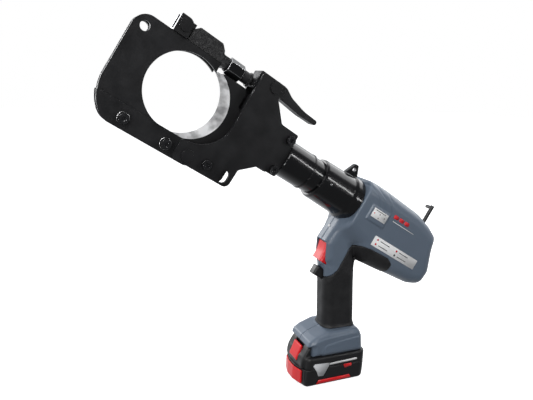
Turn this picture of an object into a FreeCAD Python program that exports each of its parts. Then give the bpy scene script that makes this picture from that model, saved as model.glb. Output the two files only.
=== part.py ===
# Battery hydraulic cable cutter with a flip-open guillotine head.
# Frame: +Z up, +X towards the cutting head, +Y the tool's left side, origin at the middle of the battery's base.
# The head and barrel are drawn in a frame of their own: u runs forward along the barrel, v runs up across it,
# and both start at the middle of the round cutting opening. Heights off the tool's middle plane are along +Y.
import FreeCAD, Part
import math
import os
import Sketcher
from FreeCAD import Placement, Rotation, Vector

# ---------------------------------------------------------------- driving dimensions (millimetres, degrees)
DIMENSIONS = [
    ("barrel_rise", 30.7, "angle of the barrel above level"),
    ("head_x", 245.9, "middle of the cutting opening, forward of the battery's middle"),
    ("head_z", 459.3, "middle of the cutting opening, above the battery's base"),
    ("opening_radius", 52.5, "round cutting opening"),
    ("blade_edge_radius", 54.0, "cutting edge of the blade"),
    ("blade_bevel_radius", 54.5, "far edge of the blade's bevel"),
    ("bevel_shift", 14.7, "how far back the bevel's far edge lies"),
    ("blade_half", 4.0, "half the blade's thickness"),
    ("jaw_inner", 5.2, "inner face of each jaw plate"),
    ("jaw_outer", 10.2, "outer face of each jaw plate"),
    ("strap_outer", 14.2, "outer face of each strap plate"),
    ("cheek_inner", 14.9, "inner face of each cheek plate"),
    ("cheek_outer", 20.0, "outer face of each cheek plate"),
    ("hinge_radius", 7.0, "hinge pin"),
    ("hinge_running", 7.06, "jaw bore on the hinge pin"),
    ("hinge_head_radius", 8.6, "heads of the hinge and lever pins"),
    ("pin_head_height", 1.8, "heads of the hinge and lever pins"),
    ("lever_pin_radius", 5.0, "lever pin"),
    ("lever_running", 5.06, "lever bore on its pin"),
    ("latch_pin_radius", 5.0, "latch pin"),
    ("latch_running", 5.06, "latch bore on its pin"),
    ("screw_radius", 4.0, "head screws, shank"),
    ("screw_hole", 4.1, "clearance hole for the head screws"),
    ("screw_head_radius", 6.5, "head screws, head"),
    ("screw_head_height", 7.0, "head screws, head"),
    ("washer_radius", 8.2, "washer under each screw head"),
    ("washer_height", 1.4, "washer under each screw head"),
    ("hang_radius", 6.5, "hanging hole in the nose of the jaw"),
    ("latch_half", 14.0, "half width of the latch block"),
    ("tongue_half", 5.4, "half width of the latch tongue"),
    ("fork_half", 5.8, "half width of the slot in the latch block"),
    ("arm_half", 10.5, "half width of the latch arm"),
    ("rod_height", 64.5, "latch rod above the barrel axis"),
    ("rod_radius", 6.0, "latch rod"),
    ("lever_half", 8.0, "half width of the lever's tail"),
    ("lever_root_half", 12.5, "half width of the lever at its pin"),
    ("piston_rod_radius", 11.0, "piston rod"),
    ("motor_drop", 24.0, "motor axis below the barrel axis"),
    ("gear_module", 1.0, "reduction gear module"),
    ("pinion_teeth", 12, "motor pinion"),
    ("wheel_teeth", 36, "reduction wheel"),
    ("gear_width", 8.0, "face width of both gears"),
    ("body_half", 37.5, "half width of the housing"),
    ("zone_half", 22.5, "half width around the trigger"),
    ("wall", 3.0, "housing wall"),
    ("core_half", 17.0, "half width of the handle inside the grip"),
    ("grip_half", 20.5, "half width of the rubber grip"),
    ("foot_half", 36.0, "half width of the foot"),
    ("trigger_half", 15.0, "half width of the trigger"),
    ("release_half", 8.0, "half width of the release button"),
    ("running_gap", 0.4, "gap beside buttons and triggers"),
    ("battery_length", 116.0, "battery pack, front to back"),
    ("battery_width", 75.0, "battery pack, side to side"),
    ("battery_seam", 30.0, "seam between battery case and lid"),
    ("battery_top", 49.5, "top of the battery's sides"),
    ("cell_radius", 9.1, "battery cell"),
    ("cell_length", 65.0, "battery cell"),
]

doc = FreeCAD.newDocument("CableCutter")
sheet = doc.addObject("Spreadsheet::Sheet", "Dims")
for row, (alias, value, note) in enumerate(DIMENSIONS, start=1):
    sheet.set(f"A{row}", note)
    sheet.set(f"B{row}", str(value))
    sheet.setAlias(f"B{row}", alias)
doc.recompute()

# Frames as sheet formulas. In the head frame local x is u, local y is v and local z points to the tool's right.
# The side frame is the same for level parts: local x is X, local y is Z. The cross frame looks along the barrel:
# local x is the tool's left, local y is v and local z is u. The level frame is the tool's own.
HEAD = (
    "placement(vector(Dims.head_x; 0; Dims.head_z);"
    " rotation(vector(0; 1; 0); -Dims.barrel_rise) * rotation(vector(1; 0; 0); 90))"
)
SIDE = "placement(vector(0; 0; 0); rotation(vector(1; 0; 0); 90))"
CROSS = HEAD + " * placement(vector(0; 0; 0); rotation(vector(0; 1; 0); 90))"
LEVEL = "placement(vector(0; 0; 0); rotation(vector(0; 0; 1); 0))"

SUBPARTS = []


def size(alias):
    return float(sheet.get(alias))


def shifted(frame, across, up):
    """A frame moved along its own local x and y, given as sheet formulas or numbers."""
    return f"{frame} * placement(vector({across}; {up}; 0); rotation(vector(0; 0; 1); 0))"


def at(u, v, radius=0):
    """A point of the head frame as (X, Z) in the side frame."""
    rise = math.radians(size("barrel_rise"))
    x = size("head_x") + u * math.cos(rise) - v * math.sin(rise)
    z = size("head_z") + u * math.sin(rise) + v * math.cos(rise)
    return (x, z, radius)


def rectangle(low_x, high_x, low_y, high_y, radius=0):
    return [(low_x, low_y, radius), (high_x, low_y, radius), (high_x, high_y, radius), (low_x, high_y, radius)]


def keep(label, item):
    item.Label = label
    SUBPARTS.append(item)
    return item


# ---------------------------------------------------------------- sketches
def corner_points(before, corner, after):
    """Ends and middle of the arc that rounds one corner of an outline, and whether it turns left."""
    here = Vector(corner[0], corner[1], 0)
    back = Vector(before[0], before[1], 0) - here
    ahead = Vector(after[0], after[1], 0) - here
    radius = corner[2] if len(corner) > 2 else 0
    if radius == 0:
        return here, here, here, True
    half_angle = back.getAngle(ahead) / 2
    back.normalize()
    ahead.normalize()
    reach = radius / math.tan(half_angle)
    bisector = back + ahead
    bisector.normalize()
    centre = here + bisector * (radius / math.sin(half_angle))
    middle = centre - bisector * radius
    return here + back * reach, middle, here + ahead * reach, back.cross(ahead).z < 0


def draw_outline(sketch, points):
    """A closed outline of straight runs, with an arc at each corner that has a radius."""
    corners = []
    for index, corner in enumerate(points):
        corners.append(corner_points(points[index - 1], corner, points[(index + 1) % len(points)]))
    chain = []
    for index, (start, middle, end, turns_left) in enumerate(corners):
        following = corners[(index + 1) % len(corners)][0]
        if (end - start).Length > 1e-6:
            arc = sketch.addGeometry(Part.Arc(start, middle, end), False)
            chain.append((arc, 1, 2) if turns_left else (arc, 2, 1))
        if (following - end).Length > 1e-6:
            line = sketch.addGeometry(Part.LineSegment(end, following), False)
            chain.append((line, 1, 2))
    joins = []
    for index, (edge, _, end_point) in enumerate(chain):
        next_edge, next_start, _ = chain[(index + 1) % len(chain)]
        joins.append(Sketcher.Constraint("Coincident", edge, end_point, next_edge, next_start))
    sketch.addConstraint(joins)


def draw_circle(sketch, x, y, radius):
    """A circle whose radius is a sheet formula."""
    value = size(radius.replace("Dims.", "")) if radius.startswith("Dims.") else float(radius)
    circle = sketch.addGeometry(Part.Circle(Vector(x, y, 0), Vector(0, 0, 1), value), False)
    limit = sketch.addConstraint(Sketcher.Constraint("Radius", circle, value))
    sketch.setExpression(f"Constraints[{limit}]", radius)


def new_sketch(body, name, depth="0"):
    """A sketch on the body's own XY plane, moved back by a depth."""
    sketch = body.newObject("Sketcher::SketchObject", name)
    plane = [item for item in body.Origin.OriginFeatures if item.Role == "XY_Plane"][0]
    sketch.AttachmentSupport = (plane, [""])
    sketch.MapMode = "FlatFace"
    sketch.setExpression("AttachmentOffset", f"placement(vector(0; 0; -({depth})); rotation(vector(0; 0; 1); 0))")
    return sketch


def new_body(label, frame):
    body = doc.addObject("PartDesign::Body", label)
    body.setExpression("Placement", frame)
    return body


# ---------------------------------------------------------------- ways of making a piece
def layered(label, frame, layers, cuts=(), kept=True):
    """Plates padded between two depths, then pockets between two depths.

    A layer is (outline, low, high, holes): low and high are distances against local z, so heights off the
    middle plane on the tool's left are positive. A hole is (x, y, radius), and a cut is (outline, low, high).
    """
    body = new_body(label, frame)
    for index, (outline, low, high, holes) in enumerate(layers):
        sketch = new_sketch(body, f"{label}_outline_{index}", high)
        draw_outline(sketch, outline)
        for x, y, radius in holes:
            draw_circle(sketch, x, y, radius)
        pad = body.newObject("PartDesign::Pad", f"{label}_pad_{index}")
        pad.Profile = sketch
        pad.setExpression("Length", f"({high}) - ({low})")
    doc.recompute()
    for index, (outline, low, high) in enumerate(cuts):
        before = body.Shape.Volume
        sketch = new_sketch(body, f"{label}_cut_outline_{index}", high)
        draw_outline(sketch, outline)
        pocket = body.newObject("PartDesign::Pocket", f"{label}_pocket_{index}")
        pocket.Profile = sketch
        pocket.setExpression("Length", f"({high}) - ({low})")
        pocket.Reversed = True
        doc.recompute()
        if body.Shape.Volume >= before:
            raise RuntimeError(f"{label}: pocket {index} cuts nothing")
    return keep(label, body) if kept else body


def turned(label, frame, profile, kept=True):
    """A piece turned about the frame's local x; the profile is (along, radius) points."""
    body = new_body(label, frame)
    sketch = new_sketch(body, f"{label}_profile")
    draw_outline(sketch, profile)
    revolution = body.newObject("PartDesign::Revolution", f"{label}_revolution")
    revolution.Profile = sketch
    revolution.ReferenceAxis = (sketch, ["H_Axis"])
    revolution.Angle = 360
    doc.recompute()
    return keep(label, body) if kept else body


def pin(name, frame, x, y, low, high, radius):
    """A cylinder across the tool, between two heights on the tool's left."""
    cylinder = doc.addObject("Part::Cylinder", name)
    cylinder.setExpression("Radius", radius)
    cylinder.setExpression("Height", f"({high}) - ({low})")
    place = f"placement(vector({x}; {y}; -({high})); rotation(vector(0; 0; 1); 0))"
    cylinder.setExpression("Placement", f"{frame} * {place}")
    return cylinder


def spindle(name, frame, start, end, y, radius):
    """A cylinder along the frame's local x."""
    cylinder = doc.addObject("Part::Cylinder", name)
    cylinder.setExpression("Radius", radius)
    cylinder.setExpression("Height", f"({end}) - ({start})")
    place = f"placement(vector({start}; {y}; 0); rotation(vector(0; 1; 0); 90))"
    cylinder.setExpression("Placement", f"{frame} * {place}")
    return cylinder


def hexagon(name, frame, x, y, low, high, radius):
    """A six-sided prism across the tool; the radius is to its corners."""
    prism = doc.addObject("Part::Prism", name)
    prism.Polygon = 6
    prism.setExpression("Circumradius", radius)
    prism.setExpression("Height", f"({high}) - ({low})")
    place = f"placement(vector({x}; {y}; -({high})); rotation(vector(0; 0; 1); 0))"
    prism.setExpression("Placement", f"{frame} * {place}")
    return prism


def block(name, frame, low, high):
    """A box between two corners of a frame, with the corners' numbers in the frame's local axes."""
    box = doc.addObject("Part::Box", name)
    box.Length, box.Width, box.Height = [top - bottom for bottom, top in zip(low, high)]
    box.setExpression("Placement", f"{frame} * placement(vector({low[0]}; {low[1]}; {low[2]}); rotation(0; 0; 0))")
    return box


def fused(name, items):
    joined = doc.addObject("Part::MultiFuse", name)
    joined.Shapes = items
    return joined


def cut(name, base, tool):
    result = doc.addObject("Part::Cut", name)
    result.Base = base
    result.Tool = tool
    return result


def group(name, items):
    """Separate solids that share one node."""
    compound = doc.addObject("Part::Compound", name)
    compound.Links = items
    return compound


def mirrored_pair(name, outline, inner, outer, holes, cuts=()):
    """The same plate on both sides of the middle plane."""
    for side, low, high in (("left", inner, outer), ("right", f"-({outer})", f"-({inner})")):
        side_cuts = [(shape, low, high) for shape in cuts]
        layered(f"{name}_{side}", HEAD, [(outline, low, high, holes)], side_cuts)


def socket_screw(name, x, y, face, tail, washer):
    """A socket cap screw with its head on the tool's left; face is where its head or washer bears."""
    seat = f"{face} + Dims.washer_height" if washer else face
    top = f"{seat} + Dims.screw_head_height"
    shank = pin(f"{name}_shank", HEAD, x, y, tail, seat, "Dims.screw_radius")
    head = pin(f"{name}_head", HEAD, x, y, seat, top, "Dims.screw_head_radius")
    whole = fused(f"{name}_solid", [shank, head])
    socket = hexagon(f"{name}_socket", HEAD, x, y, f"{top} - 4", f"{top} + 1", "3.5")
    return cut(name, whole, socket)


def nut(name, x, y, low, high):
    blank = hexagon(f"{name}_blank", HEAD, x, y, low, high, "7.5")
    bore = pin(f"{name}_bore", HEAD, x, y, f"{low} - 1", f"{high} + 1", "Dims.screw_radius")
    return cut(name, blank, bore)


# ---------------------------------------------------------------- jaw
HINGE = (-45.5, -68.5)
LATCH_PIN = (40, 74)
LEVER_PIN = (-106, 73.8)
HANG_HOLE = (81.6, 44.3)
JAW_SCREWS = [(49.3, -68.3), (-13.4, -69.4)]
JAW_TOP = 60.0
JAW_REAR = -25.0
JAW_BOTTOM = -82.5


def make_jaw():
    outline = [
        (97, JAW_TOP, 20), (JAW_REAR, JAW_TOP, 2), (JAW_REAR, 0), (-9, 0), (-9, -53), (-59.3, -53, 13),
        (-59.3, JAW_BOTTOM, 13), (97, JAW_BOTTOM, 50),
    ]
    holes = [(*HINGE, "Dims.hinge_running"), (*HANG_HOLE, "Dims.hang_radius")]
    holes += [(*place, "Dims.screw_hole") for place in JAW_SCREWS]
    radius = size("opening_radius")
    # the opening as a square with fully rounded corners, which is a circle
    opening = rectangle(-radius, radius, -radius, radius, radius - 1e-5)
    mirrored_pair("jaw_plate", outline, "Dims.jaw_inner", "Dims.jaw_outer", holes, [opening])

    strap = [
        (95, -52, 2), (88, -66, 30), (74, JAW_BOTTOM, 24), (-59.3, JAW_BOTTOM, 13), (-59.3, -52, 13),
    ]
    strap_holes = [(*HINGE, "Dims.hinge_running")] + [(*place, "Dims.screw_hole") for place in JAW_SCREWS]
    mirrored_pair("strap_plate", strap, "Dims.jaw_outer", "Dims.strap_outer", strap_holes)

    inner = "Dims.jaw_inner"
    lower = layered(
        "lower_spacer", HEAD,
        [([(84, -60, 4), (70, -78, 14), (-22, -78, 4), (-22, -60, 4)], f"-{inner}", inner,
          [(*place, "Dims.screw_hole") for place in JAW_SCREWS])], kept=False,
    )
    upper = layered(
        "upper_spacer", HEAD, [(rectangle(-20, 76, 56, JAW_TOP, 1), f"-{inner}", inner, [])], kept=False,
    )
    ring = pin("hinge_spacer_blank", HEAD, *HINGE, f"-{inner}", inner, "11")
    bore = pin("hinge_spacer_bore", HEAD, *HINGE, f"-{inner} - 1", f"{inner} + 1", "Dims.hinge_running")
    keep("jaw_spacers", group("jaw_spacers", [lower, upper, cut("hinge_spacer", ring, bore)]))

    screws = [
        socket_screw(f"jaw_screw_{index}", *place, "Dims.strap_outer", "-22", True)
        for index, place in enumerate(JAW_SCREWS)
    ]
    keep("jaw_screws", group("jaw_screws", screws))
    nuts = [
        nut(f"jaw_nut_{index}", *place, "-Dims.strap_outer - 6.5", "-Dims.strap_outer")
        for index, place in enumerate(JAW_SCREWS)
    ]
    keep("jaw_nuts", group("jaw_nuts", nuts))
    washers = []
    for index, place in enumerate(JAW_SCREWS):
        disc = pin(f"washer_disc_{index}", HEAD, *place, "Dims.strap_outer",
                   "Dims.strap_outer + Dims.washer_height", "Dims.washer_radius")
        hole = pin(f"washer_hole_{index}", HEAD, *place, "Dims.strap_outer - 1",
                   "Dims.strap_outer + Dims.washer_height + 1", "Dims.screw_radius")
        washers.append(cut(f"washer_{index}", disc, hole))
    keep("jaw_washers", group("jaw_washers", washers))


def make_latch():
    half, fork = "Dims.latch_half", "Dims.fork_half"
    base = [(51, JAW_TOP, 1), (51, 63.5), (30, 63.5), (30, JAW_TOP, 1)]
    ear = [(51, JAW_TOP, 1), (51, 84.5, 1.5), (30, 84.5, 10), (30, JAW_TOP, 1)]
    hole = [(*LATCH_PIN, "Dims.latch_pin_radius")]
    layered("latch_block", HEAD, [(base, f"-{half}", half, []), (ear, fork, half, hole),
                                  (ear, f"-{half}", f"-{fork}", hole)])
    shank = pin("latch_pin_shank", HEAD, *LATCH_PIN, f"-{half}", half, "Dims.latch_pin_radius")
    heads = [
        pin("latch_pin_head", HEAD, *LATCH_PIN, half, f"{half} + Dims.pin_head_height", "Dims.hinge_head_radius"),
        pin("latch_pin_tail", HEAD, *LATCH_PIN, f"-{half} - Dims.pin_head_height", f"-{half}",
            "Dims.hinge_head_radius"),
    ]
    keep("latch_pin", fused("latch_pin", [shank] + heads))

    # the arm rests over the jaw's top edge and dips behind its rear corner
    arm_floor = JAW_TOP + 0.4
    arm = [
        (28, arm_floor, 0.5), (28, 76), (21, 83, 3), (-14, 83, 4), (-21, 76, 5), (-22, 72, 3), (-33, 72, 1),
        (-33, 57, 1), (JAW_REAR - 0.5, 57, 0.5), (JAW_REAR - 0.5, arm_floor),
    ]
    tongue = [(26, 64.6), (49.3, 64.6, 9.3), (49.3, 83.3, 9.3), (26, 83.3)]
    layered("latch_arm", HEAD, [
        (arm, "-Dims.arm_half", "Dims.arm_half", []),
        (tongue, "-Dims.tongue_half", "Dims.tongue_half", [(*LATCH_PIN, "Dims.latch_running")]),
    ])
    rod_axis = shifted(HEAD, 0, "Dims.rod_height")
    radius = size("rod_radius")
    turned("latch_rod", rod_axis, [
        (-33, 0), (-33, 9.5, 0.5), (-36, 9.5, 0.5), (-36, radius), (-59, radius), (-59, 8.6), (-70.5, 8.6),
        (-70.5, 10.5, 0.5), (-73.5, 10.5, 0.5), (-73.5, radius), (-78, radius), (-78, 0),
    ])
    nut_body = doc.addObject("Part::Prism", "latch_nut_blank")
    nut_body.Polygon = 6
    nut_body.Circumradius = 12.4
    nut_body.Height = 23
    turn = "rotation(vector(0; 1; 0); 90) * rotation(vector(0; 0; 1); 30)"
    nut_body.setExpression("Placement", f"{rod_axis} * placement(vector(-59; 0; 0); {turn})")
    bore = spindle("latch_nut_bore", rod_axis, "-60", "-35", "0", "Dims.rod_radius")
    keep("latch_nut", cut("latch_nut", nut_body, bore))
    tab = [(-78, 58.5, 2), (-78, 84, 2), (-87, 84, 2), (-87, 58.5, 2)]
    layered("latch_tab", HEAD, [(tab, "-13.5", "13.5", [])])


# ---------------------------------------------------------------- cheeks, lever and cylinder
CHEEK_SCREWS = [(-74, -66), (-164, 24), (-164, -24)]
LANYARD_SLOT = (-105, -68.5)


def make_cheeks():
    outline = [
        (-27, -52, 5), (-27, -81, 7), (-117.5, -81, 9), (-118.5, -51, 5), (-141, -32.2, 8), (-172.5, -32, 3),
        (-172.5, 36, 3), (-141, 36.5, 6), (-117.5, 62, 5), (-115.6, 82.6, 4), (-80, 82.6, 5), (-81, -52, 49),
    ]
    holes = [(*HINGE, "Dims.hinge_radius"), (*LEVER_PIN, "Dims.lever_pin_radius")]
    holes += [(*place, "Dims.screw_radius") for place in CHEEK_SCREWS]
    slot_u, slot_v = LANYARD_SLOT
    slot = rectangle(slot_u - 6.5, slot_u + 6.5, slot_v - 9, slot_v + 9, 6.2)
    mirrored_pair("cheek", outline, "Dims.cheek_inner", "Dims.cheek_outer", holes, [slot])

    screws = [
        socket_screw(f"cheek_screw_{index}", *place, "Dims.cheek_outer", "-28", False)
        for index, place in enumerate(CHEEK_SCREWS)
    ]
    keep("cheek_screws", group("cheek_screws", screws))
    nuts = [
        nut(f"cheek_nut_{index}", *place, "-Dims.cheek_outer - 6.5", "-Dims.cheek_outer")
        for index, place in enumerate(CHEEK_SCREWS)
    ]
    keep("cheek_nuts", group("cheek_nuts", nuts))
    outer = "Dims.cheek_outer"
    for name, place, radius in (("hinge_pin", HINGE, "Dims.hinge_radius"),
                                ("lever_pin", LEVER_PIN, "Dims.lever_pin_radius")):
        shank = pin(f"{name}_shank", HEAD, *place, f"-{outer}", outer, radius)
        head = pin(f"{name}_head", HEAD, *place, outer, f"{outer} + Dims.pin_head_height",
                   "Dims.hinge_head_radius")
        tail = pin(f"{name}_tail", HEAD, *place, f"-{outer} - Dims.pin_head_height", f"-{outer}",
                   "Dims.hinge_head_radius")
        keep(name, fused(name, [shank, head, tail]))

    upper = [(-148, 14, 2), (-88, 14, 2), (-88, 52, 2), (-122, 52, 2), (-148, 29, 2)]
    lower = [(-148, -14, 2), (-88, -14, 2), (-88, -46, 2), (-124, -46, 2), (-148, -26, 2)]
    guides = []
    for name, shape in (("upper", upper), ("lower", lower)):
        for side, low, high in (("left", "Dims.blade_half + Dims.running_gap", "Dims.cheek_inner"),
                                ("right", "-Dims.cheek_inner", "-Dims.blade_half - Dims.running_gap")):
            guides.append(layered(f"guide_{name}_{side}", HEAD, [(shape, low, high, [])], kept=False))
    keep("blade_guides", group("blade_guides", guides))


def make_lever():
    tail = [
        (-112, 67, 4), (-112, 84, 6), (-125, 85, 12), (-139, 77.5, 30), (-166, 71.5, 60), (-193, 70.6, 3.6),
        (-193, 63.2, 3.6), (-163, 62.6, 60), (-136, 65, 40),
    ]
    u, v = LEVER_PIN
    root = [(u + 9.3, v - 9.3, 9.2), (u + 9.3, v + 9.3, 9.2), (-122, 84.4, 4), (-126, 66.5, 4)]
    layered("lever", HEAD, [
        (root, "-Dims.lever_root_half", "Dims.lever_root_half", [(*LEVER_PIN, "Dims.lever_running")]),
        (tail, "-Dims.lever_half", "Dims.lever_half", []),
    ])


STRAP_HOLE = (-294.2, 43.6)


def make_cylinder():
    flange = layered(
        "flange_block", HEAD,
        [([(-156, -30, 2), (-156, 34, 2), (-172.5, 34), (-172.5, -30)], "-Dims.cheek_inner", "Dims.cheek_inner",
          [(*place, "Dims.screw_radius") for place in CHEEK_SCREWS[1:]])], kept=False,
    )
    bore = spindle("flange_bore", HEAD, "-180", "-150", "0", "Dims.piston_rod_radius + 0.8")
    keep("cylinder_flange", cut("cylinder_flange", flange, bore))

    turned("cylinder_tube", HEAD, [
        (-172.5, 11.8), (-172.5, 27.0, 0.8), (-174, 27.8, 0.5), (-218, 27.8, 0.6), (-218, 25.6), (-222, 25.6),
        (-222, 27), (-306, 27), (-306, 20.5), (-181, 20.5), (-181, 11.8),
    ])
    turned("retaining_ring", HEAD, [(-218.3, 25.6), (-218.3, 28.6, 0.6), (-221.7, 28.6, 0.6), (-221.7, 25.6)])
    turned("swivel_collar", HEAD, [
        (-239, 27.3), (-239, 30.5, 1), (-243, 32, 2), (-297, 33.6, 3), (-302, 36, 2), (-316, 36, 1.5), (-316, 27.3),
    ])
    lug = [
        (-282, 33.3), (-296.5, 33.9), (-301.5, 36.1), (-305.5, 36.1), (-297.5, 52.5, 2.5), (-291.5, 52.5, 2.5),
    ]
    layered("strap_lug", HEAD, [(lug, "-3.5", "3.5", [(*STRAP_HOLE, "3.2")])])


def make_ram():
    edge = "Dims.blade_half"
    outline = [
        (-12, 49.1, 0.5), (-34, 49.1), (-38.5, 51.6), (-78, 51.6, 8), (-78, 22, 6), (-150, 22, 3), (-150, -22, 3),
        (-78, -22, 6), (-78, -54, 8), (-12, -54, 0.5),
    ]
    blade = layered("blade", HEAD, [(outline, f"-{edge}", edge, [(-143, 0, "4")])])
    for name, side in (("left", "1"), ("right", "-1")):
        before = blade.Shape.Volume
        inner = new_sketch(blade, f"blade_edge_{name}")
        draw_circle(inner, 0, 0, "Dims.blade_edge_radius")
        outer = new_sketch(blade, f"blade_bevel_{name}", f"({edge} + 0.01) * {side}")
        draw_circle(outer, -size("bevel_shift"), 0, "Dims.blade_bevel_radius")
        bevel = blade.newObject("PartDesign::SubtractiveLoft", f"blade_loft_{name}")
        bevel.Profile = inner
        bevel.Sections = [outer]
        doc.recompute()
        if blade.Shape.Volume >= before:
            raise RuntimeError("blade: the bevel cuts nothing")
    keep("blade_pin", pin("blade_pin", HEAD, -143, 0, "-10", "10", "4"))

    radius = size("piston_rod_radius")
    rod = turned("rod_blank", HEAD, [(-138, 0), (-138, radius, 1.5), (-291.5, radius), (-291.5, 6.5), (-172, 6.5),
                                     (-172, 0)], kept=False)
    slot = block("rod_slot", HEAD, (-151, -14, -4.05), (-130, 14, 4.05))
    cross_hole = pin("rod_cross_hole", HEAD, -143, 0, "-14", "14", "4")
    keep("piston_rod", cut("piston_rod", rod, fused("rod_cuts", [slot, cross_hole])))
    turned("piston", HEAD, [
        (-291.5, 6.5), (-291.5, 20.2, 0.5), (-295.5, 20.2), (-295.5, 17.2), (-300.5, 17.2), (-300.5, 20.2),
        (-304, 20.2, 0.5), (-304, 6.5),
    ])
    turned("piston_seal", HEAD, [(-295.8, 17.2), (-295.8, 20.4, 0.8), (-300.2, 20.4, 0.8), (-300.2, 17.2)])


# ---------------------------------------------------------------- pump, gears and motor
def toothed(label, frame, teeth, first_angle, bore):
    """A spur gear: a disc at root radius, one tooth, and a pattern of it round the axis."""
    module = size("gear_module")
    pitch = module * size(teeth) / 2
    root, tip = pitch - 1.25 * module, pitch + 0.9 * module
    body = new_body(label, frame)
    disc = new_sketch(body, f"{label}_disc")
    draw_circle(disc, 0, 0, str(root))
    draw_circle(disc, 0, 0, bore)
    pad = body.newObject("PartDesign::Pad", f"{label}_pad")
    pad.Profile = disc
    pad.setExpression("Length", "Dims.gear_width")
    tooth = new_sketch(body, f"{label}_tooth")
    turn = math.radians(first_angle)
    sides = [(root - 0.4, -0.72), (pitch, -0.58), (tip, -0.3), (tip, 0.3), (pitch, 0.58), (root - 0.4, 0.72)]
    draw_outline(tooth, [
        (out * math.cos(turn) - side * module * math.sin(turn), out * math.sin(turn) + side * module * math.cos(turn))
        for out, side in sides
    ])
    tooth_pad = body.newObject("PartDesign::Pad", f"{label}_tooth_pad")
    tooth_pad.Profile = tooth
    tooth_pad.setExpression("Length", "Dims.gear_width")
    doc.recompute()
    pattern = body.newObject("PartDesign::PolarPattern", f"{label}_pattern")
    pattern.Originals = [tooth_pad]
    pattern.Axis = (tooth, ["N_Axis"])
    pattern.Angle = 360
    pattern.setExpression("Occurrences", f"Dims.{teeth}")
    body.Tip = pattern
    doc.recompute()
    return keep(label, body)


# middle of the cam along the barrel's axis, where the plunger stands
CAM_MIDDLE = -361


def post(name, u, start, end, radius):
    """A cylinder square to the barrel's axis in the middle plane, from one v to another."""
    cylinder = doc.addObject("Part::Cylinder", name)
    cylinder.Radius = radius
    cylinder.Height = abs(end - start)
    turn = 90 if end < start else -90
    place = f"placement(vector({u}; {start}; 0); rotation(vector(1; 0; 0); {turn}))"
    cylinder.setExpression("Placement", f"{HEAD} * {place}")
    return cylinder


def make_drive():
    blank = fused("pump_block_blank", [
        spindle("pump_block_round", HEAD, "-346", "-308.5", "0", "26"),
        block("pump_head", HEAD, (-368, -26, -10), (-345, -13, 10)),
    ])
    bore = post("plunger_bore", CAM_MIDDLE, 0, -30, 3.05)
    keep("pump_block", cut("pump_block", blank, bore))
    keep("pump_plunger", post("pump_plunger", CAM_MIDDLE, -10.2, -24.2, 3.0))
    keep("relief_valve", pin_along("relief_valve", -358, -346, 15))

    shaft = spindle("eccentric_journal", HEAD, "-392", "-350", "0", "5")
    cam = spindle("eccentric_cam", shifted(HEAD, 0, "-1.5"), f"{CAM_MIDDLE} - 4", f"{CAM_MIDDLE} + 4", "0", "8")
    keep("eccentric_shaft", fused("eccentric_shaft", [shaft, cam]))

    # gears run between 378 and 386 behind the opening's middle
    wheel_frame = f"{HEAD} * placement(vector(-386; 0; 0); rotation(vector(0; 1; 0); 90))"
    half_pitch = 180 / size("wheel_teeth")
    toothed("drive_gear", wheel_frame, "wheel_teeth", -90 + half_pitch, "5")
    pinion_frame = f"{HEAD} * placement(vector(-386; -Dims.motor_drop; 0); rotation(vector(0; 1; 0); 90))"
    toothed("drive_pinion", pinion_frame, "pinion_teeth", 90, "3")

    drop = size("motor_drop")
    shell = [(22, 22, 20), (-22, 22, 20), (-22, -22, 14), (-12, -drop - 11, 9), (12, -drop - 11, 9), (22, -22, 14)]
    inside = [(20, 20, 18), (-20, 20, 18), (-20, -21, 13), (-10, -drop - 9, 7), (10, -drop - 9, 7), (20, -21, 13)]
    layered("gearbox_case", CROSS, [
        (shell, "372", "375", [(0, 0, "5.4")]),
        (shell, "375", "390", []),
        (shell, "390", "394", [(0, 0, "5.4"), (0, -drop, "3.6")]),
    ], [(inside, "375", "390")])

    motor_axis = shifted(HEAD, 0, "-Dims.motor_drop")
    turned("motor_can", motor_axis, [
        (-398, 4), (-398, 22, 2), (-458, 22, 4), (-458, 0), (-456, 0), (-456, 20), (-400.5, 20), (-400.5, 4),
    ])
    turned("rotor_shaft", motor_axis, [(-377, 0), (-377, 3), (-454, 3), (-454, 0)])
    turned("rotor_core", motor_axis, [(-408, 3), (-408, 18.5, 1), (-446, 18.5, 1), (-446, 3)])


def pin_along(name, start, end, height):
    return spindle(name, HEAD, str(start), str(end), str(height), "4")


def make_inside():
    layered("oil_reservoir", HEAD, [(rectangle(-455, -402, 6, 28.5, 6), "-12", "24", [])])
    layered("control_board", HEAD, [(rectangle(-488, -405, -56, -6, 1), "26", "27.6", [])])
    layered("switch_module", HEAD, [(rectangle(-366.5, -347.5, -104, -82, 1), "-9.5", "9.5", [])])
    layered("terminal_block", SIDE, [(rectangle(-30, 28.5, 61.2, 71, 1), "-28", "28", [])])


# ---------------------------------------------------------------- housing, grip, trigger
FOOT_BOTTOM, LOBE_TOP = 50.3, 66.0
TRIGGER_TOP, TRIGGER_BOTTOM = -77.0, -107.0
TRIGGER_FACE, TRIGGER_BACK = -312.5, -338.5
RELEASE_TOP, RELEASE_BOTTOM = -115.8, -131.2
RELEASE_FACE, RELEASE_BACK = -323.0, -352.0
SCREW_BOSSES = [(-334, 29), (-436, 27), (-481, 10), (-496, -48), (-425, -62)]


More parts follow.
